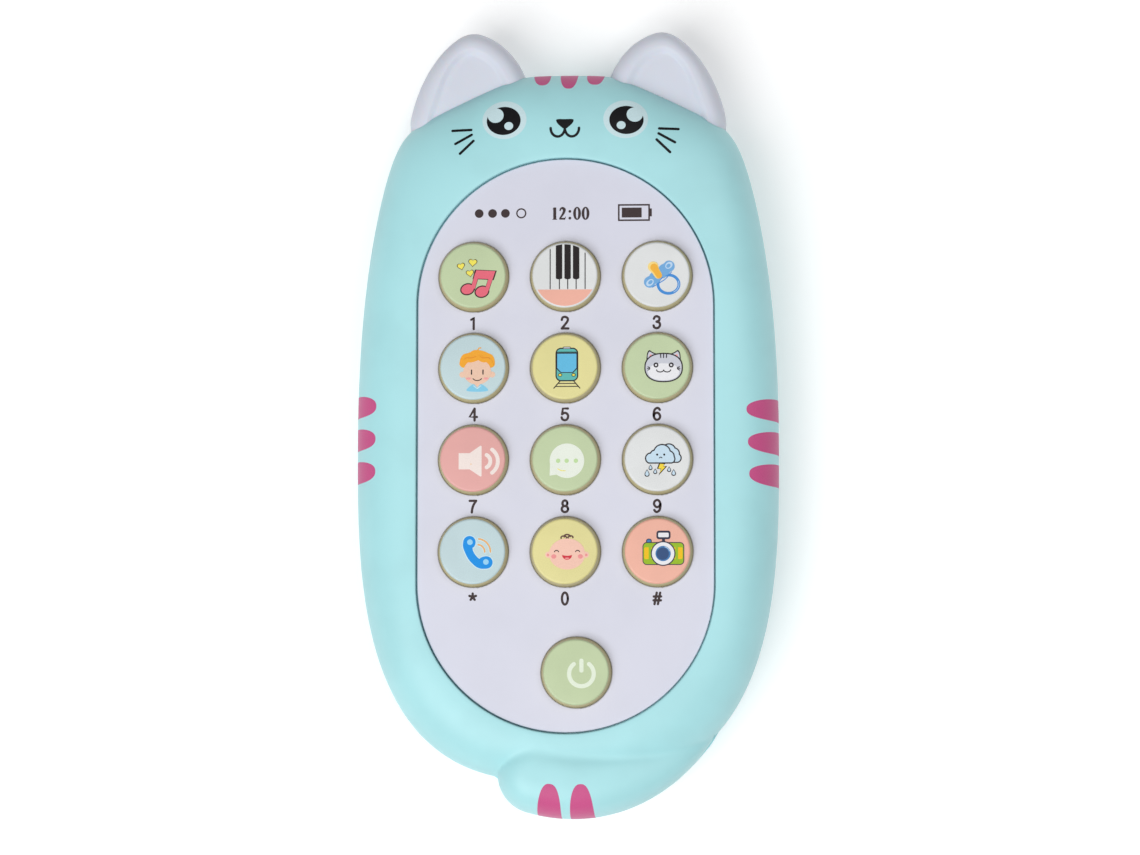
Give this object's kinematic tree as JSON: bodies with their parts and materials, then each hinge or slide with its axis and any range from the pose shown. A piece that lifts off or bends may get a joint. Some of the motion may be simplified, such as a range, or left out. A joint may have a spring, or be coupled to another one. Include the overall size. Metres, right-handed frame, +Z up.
{
  "type": "toy cell phone",
  "caption": "Toy cell phone in the shape of a cat, with soft ears, a curled tail, round picture keys, a power button, a speaker and a battery bay.",
  "frame": {"origin": "on the surface the phone lies on, under the middle of its length and width", "axes": "+X to the right across the keys, +Y along its length towards the ears, +Z up out of the key face"},
  "size_m": [0.0856, 0.1602, 0.0256],
  "materials": {
    "mint_shell": "soft satin moulding in pale mint",
    "ear_rubber": "soft white silicone",
    "plate_white": "smooth white moulding",
    "grey_silicone": "translucent grey silicone",
    "carbon_rubber": "conducting carbon rubber",
    "green_board": "green solder mask",
    "black_resin": "cast epoxy",
    "component_grey": "small electronic components",
    "pressed_steel": "pressed and plated",
    "cone_film": "thin formed film",
    "magnet_grey": "plated magnet",
    "inner_plastic": "plain inner moulding",
    "zinc_steel": "zinc-plated steel",
    "nickel_steel": "nickel-plated spring steel",
    "battery_jacket": "printed steel jacket",
    "lead_red": "insulated wire",
    "lead_black": "insulated wire",
    "key_green": "printed key cap",
    "key_white": "printed key cap",
    "key_blue": "printed key cap",
    "key_yellow": "printed key cap",
    "key_pink": "printed key cap",
    "key_salmon": "printed key cap"
  },
  "bodies": {
    "housing": {"front_shell": "mint_shell", "rear_shell": "mint_shell", "ear_left": "ear_rubber", "ear_right": "ear_rubber", "key_plate": "plate_white", "rubber_keypad": "grey_silicone", "carbon_pills": "carbon_rubber", "circuit_board": "green_board", "sound_chip": "black_resin", "board_components": "component_grey", "speaker_frame": "pressed_steel", "speaker_cone": "cone_film", "speaker_magnet": "magnet_grey", "speaker_retainer": "inner_plastic", "speaker_screws": "zinc_steel", "battery_left": "battery_jacket", "battery_right": "battery_jacket", "contact_bridge": "nickel_steel", "contact_positive": "nickel_steel", "contact_negative": "nickel_steel", "contact_springs": "nickel_steel", "housing_screws": "zinc_steel", "board_screws": "zinc_steel", "speaker_lead_red": "lead_red", "speaker_lead_black": "lead_black", "battery_lead_red": "lead_red", "battery_lead_black": "lead_black"},
    "battery_door": {"battery_door": "mint_shell", "door_screw": "zinc_steel"},
    "key_1": {"key_1": "key_green"},
    "key_2": {"key_2": "key_white"},
    "key_3": {"key_3": "key_white"},
    "key_4": {"key_4": "key_blue"},
    "key_5": {"key_5": "key_yellow"},
    "key_6": {"key_6": "key_green"},
    "key_7": {"key_7": "key_pink"},
    "key_8": {"key_8": "key_green"},
    "key_9": {"key_9": "key_white"},
    "key_star": {"key_star": "key_blue"},
    "key_0": {"key_0": "key_yellow"},
    "key_hash": {"key_hash": "key_salmon"},
    "power_button": {"power_button": "key_green"}
  },
  "joints": [
    {"name": "key_1_press", "type": "slide", "parent": "housing", "child": "key_1", "axis": [0, 0, -1], "range_m": [0, 0.0012], "stiffness_N_per_m": 400, "springref_m": -0.0008, "deforming": ["rubber_keypad"]},
    {"name": "key_2_press", "type": "slide", "parent": "housing", "child": "key_2", "axis": [0, 0, -1], "range_m": [0, 0.0012], "stiffness_N_per_m": 400, "springref_m": -0.0008, "deforming": ["rubber_keypad"]},
    {"name": "key_3_press", "type": "slide", "parent": "housing", "child": "key_3", "axis": [0, 0, -1], "range_m": [0, 0.0012], "stiffness_N_per_m": 400, "springref_m": -0.0008, "deforming": ["rubber_keypad"]},
    {"name": "key_4_press", "type": "slide", "parent": "housing", "child": "key_4", "axis": [0, 0, -1], "range_m": [0, 0.0012], "stiffness_N_per_m": 400, "springref_m": -0.0008, "deforming": ["rubber_keypad"]},
    {"name": "key_5_press", "type": "slide", "parent": "housing", "child": "key_5", "axis": [0, 0, -1], "range_m": [0, 0.0012], "stiffness_N_per_m": 400, "springref_m": -0.0008, "deforming": ["rubber_keypad"]},
    {"name": "key_6_press", "type": "slide", "parent": "housing", "child": "key_6", "axis": [0, 0, -1], "range_m": [0, 0.0012], "stiffness_N_per_m": 400, "springref_m": -0.0008, "deforming": ["rubber_keypad"]},
    {"name": "key_7_press", "type": "slide", "parent": "housing", "child": "key_7", "axis": [0, 0, -1], "range_m": [0, 0.0012], "stiffness_N_per_m": 400, "springref_m": -0.0008, "deforming": ["rubber_keypad"]},
    {"name": "key_8_press", "type": "slide", "parent": "housing", "child": "key_8", "axis": [0, 0, -1], "range_m": [0, 0.0012], "stiffness_N_per_m": 400, "springref_m": -0.0008, "deforming": ["rubber_keypad"]},
    {"name": "key_9_press", "type": "slide", "parent": "housing", "child": "key_9", "axis": [0, 0, -1], "range_m": [0, 0.0012], "stiffness_N_per_m": 400, "springref_m": -0.0008, "deforming": ["rubber_keypad"]},
    {"name": "key_star_press", "type": "slide", "parent": "housing", "child": "key_star", "axis": [0, 0, -1], "range_m": [0, 0.0012], "stiffness_N_per_m": 400, "springref_m": -0.0008, "deforming": ["rubber_keypad"]},
    {"name": "key_0_press", "type": "slide", "parent": "housing", "child": "key_0", "axis": [0, 0, -1], "range_m": [0, 0.0012], "stiffness_N_per_m": 400, "springref_m": -0.0008, "deforming": ["rubber_keypad"]},
    {"name": "key_hash_press", "type": "slide", "parent": "housing", "child": "key_hash", "axis": [0, 0, -1], "range_m": [0, 0.0012], "stiffness_N_per_m": 400, "springref_m": -0.0008, "deforming": ["rubber_keypad"]},
    {"name": "power_button_press", "type": "slide", "parent": "housing", "child": "power_button", "axis": [0, 0, -1], "range_m": [0, 0.0012], "stiffness_N_per_m": 400, "springref_m": -0.0008, "deforming": ["rubber_keypad"]},
    {"name": "battery_door_lift", "type": "slide", "parent": "housing", "child": "battery_door", "axis": [0, 0, -1], "range_m": [0, 0.012]}
  ]
}
